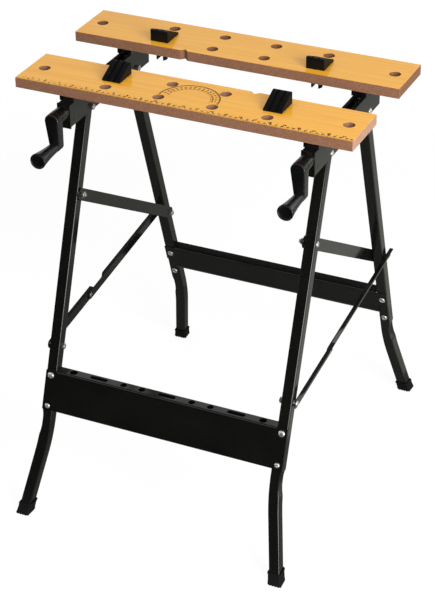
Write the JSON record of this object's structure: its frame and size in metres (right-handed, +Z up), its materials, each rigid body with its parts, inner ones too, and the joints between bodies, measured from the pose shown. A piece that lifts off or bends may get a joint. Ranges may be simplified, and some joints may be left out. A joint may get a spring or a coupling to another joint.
{
  "type": "folding clamping workbench",
  "caption": "Portable folding workbench on splayed square-tube legs, with two holed jaw boards closed by crank-turned vice screws, and a tool shelf across the front legs.",
  "frame": {"origin": "on the floor, in the middle of the footprint", "axes": "+X along the jaws to the right, +Y to the back, +Z up"},
  "size_m": [0.605, 0.6836, 0.801],
  "materials": {
    "laminated_board": "pale laminate face on fibreboard with brown sawn edges",
    "powder_coat": "gloss black powder coat on steel",
    "zinc_steel": "bright zinc plate",
    "moulded_plastic": "satin moulded black plastic",
    "foot_rubber": "matt black rubber"
  },
  "bodies": {
    "top": {"front_jaw": "laminated_board", "left_rail": "powder_coat", "right_rail": "powder_coat", "left_spacer": "moulded_plastic", "right_spacer": "moulded_plastic", "left_bracket": "powder_coat", "right_bracket": "powder_coat", "front_jaw_bolts": "zinc_steel", "bracket_rivets": "powder_coat", "leg_pivot_bolts": "zinc_steel"},
    "moving_jaw": {"rear_jaw": "laminated_board", "left_slider": "moulded_plastic", "right_slider": "moulded_plastic", "rear_jaw_bolts": "zinc_steel"},
    "left_screw": {"left_vice_screw": "zinc_steel", "left_collar": "zinc_steel", "left_crank": "moulded_plastic"},
    "right_screw": {"right_vice_screw": "zinc_steel", "right_collar": "zinc_steel", "right_crank": "moulded_plastic"},
    "front_legs": {"front_left_leg": "powder_coat", "front_right_leg": "powder_coat", "front_left_cap": "foot_rubber", "front_right_cap": "foot_rubber", "front_panel": "powder_coat", "front_panel_screws": "zinc_steel", "link_bolts": "zinc_steel", "strut_bolts": "zinc_steel", "strut_spacers": "zinc_steel"},
    "rear_legs": {"rear_left_leg": "powder_coat", "rear_right_leg": "powder_coat", "rear_left_cap": "foot_rubber", "rear_right_cap": "foot_rubber", "rear_crossbar": "powder_coat", "rear_crossbar_screws": "zinc_steel", "shared_bolts": "zinc_steel", "shared_spacers": "zinc_steel"},
    "left_link": {"left_link": "powder_coat", "left_link_nut": "zinc_steel"},
    "left_front_strut": {"left_front_strut": "powder_coat", "left_front_rivet": "zinc_steel"},
    "left_rear_strut": {"left_rear_strut": "powder_coat", "left_rear_rivet": "zinc_steel"},
    "right_link": {"right_link": "powder_coat", "right_link_nut": "zinc_steel"},
    "right_front_strut": {"right_front_strut": "powder_coat", "right_front_rivet": "zinc_steel"},
    "right_rear_strut": {"right_rear_strut": "powder_coat", "right_rear_rivet": "zinc_steel"},
    "front_left_dog": {"front_left_dog": "moulded_plastic"},
    "front_right_dog": {"front_right_dog": "moulded_plastic"},
    "rear_left_dog": {"rear_left_dog": "moulded_plastic"},
    "rear_right_dog": {"rear_right_dog": "moulded_plastic"}
  },
  "joints": [
    {"name": "front_legs_fold", "type": "hinge", "parent": "top", "child": "front_legs", "pos_m": [0, -0.07939, 0.705], "axis": [1, 0, 0], "range_deg": [0, 91]},
    {"name": "rear_legs_fold", "type": "hinge", "parent": "top", "child": "rear_legs", "pos_m": [0, 0.0946, 0.705], "axis": [1, 0, 0], "range_deg": [0, 70]},
    {"name": "left_link_swing", "type": "hinge", "parent": "front_legs", "child": "left_link", "pos_m": [0, -0.13063, 0.55999], "axis": [1, 0, 0], "range_deg": [-55.5, 0]},
    {"name": "left_rear_strut_swing", "type": "hinge", "parent": "rear_legs", "child": "left_rear_strut", "pos_m": [0, 0.21077, 0.35497], "axis": [1, 0, 0], "range_deg": [-64.5, 0]},
    {"name": "left_front_strut_swing", "type": "hinge", "parent": "front_legs", "child": "left_front_strut", "pos_m": [0, -0.22205, 0.30126], "axis": [1, 0, 0], "range_deg": [0, 62]},
    {"name": "right_link_swing", "type": "hinge", "parent": "front_legs", "child": "right_link", "pos_m": [0, -0.13063, 0.55999], "axis": [1, 0, 0], "range_deg": [-55.5, 0]},
    {"name": "right_rear_strut_swing", "type": "hinge", "parent": "rear_legs", "child": "right_rear_strut", "pos_m": [0, 0.21077, 0.35497], "axis": [1, 0, 0], "range_deg": [-64.5, 0]},
    {"name": "right_front_strut_swing", "type": "hinge", "parent": "front_legs", "child": "right_front_strut", "pos_m": [0, -0.22205, 0.30126], "axis": [1, 0, 0], "range_deg": [0, 62]},
    {"name": "right_crank_turn", "type": "hinge", "parent": "top", "child": "right_screw", "pos_m": [0.2215, 0, 0.725], "axis": [0, 1, 0], "range_deg": [0, 9272]},
    {"name": "left_crank_turn", "type": "hinge", "parent": "top", "child": "left_screw", "pos_m": [-0.2215, 0, 0.725], "axis": [0, 1, 0], "range_deg": [0, 9272]},
    {"name": "jaw_slide", "type": "slide", "parent": "top", "child": "moving_jaw", "axis": [0, -1, 0], "range_m": [0, 0.103]},
    {"name": "front_left_dog_swivel", "type": "hinge", "parent": "top", "child": "front_left_dog", "pos_m": [-0.146, -0.08904, 0.78], "axis": [0, 0, 1], "range_deg": [-90, 90]},
    {"name": "front_right_dog_swivel", "type": "hinge", "parent": "top", "child": "front_right_dog", "pos_m": [0.146, -0.08904, 0.78], "axis": [0, 0, 1], "range_deg": [-90, 90]},
    {"name": "rear_left_dog_swivel", "type": "hinge", "parent": "moving_jaw", "child": "rear_left_dog", "pos_m": [-0.146, 0.06925, 0.78], "axis": [0, 0, 1], "range_deg": [-90, 90]},
    {"name": "rear_right_dog_swivel", "type": "hinge", "parent": "moving_jaw", "child": "rear_right_dog", "pos_m": [0.146, 0.06925, 0.78], "axis": [0, 0, 1], "range_deg": [-90, 90]}
  ],
  "couplings": [
    {"joint": "rear_legs_fold", "follows": "front_legs_fold", "ratio": 0.76429},
    {"joint": "left_link_swing", "follows": "front_legs_fold", "ratio": -0.60374},
    {"joint": "left_rear_strut_swing", "follows": "front_legs_fold", "ratio": -0.68824},
    {"joint": "left_front_strut_swing", "follows": "front_legs_fold", "ratio": 0.67341},
    {"joint": "right_link_swing", "follows": "front_legs_fold", "ratio": -0.60374},
    {"joint": "right_rear_strut_swing", "follows": "front_legs_fold", "ratio": -0.68824},
    {"joint": "right_front_strut_swing", "follows": "front_legs_fold", "ratio": 0.67341},
    {"joint": "left_crank_turn", "follows": "jaw_slide", "rad_per_m": 1570.8},
    {"joint": "right_crank_turn", "follows": "jaw_slide", "rad_per_m": 1570.8}
  ]
}
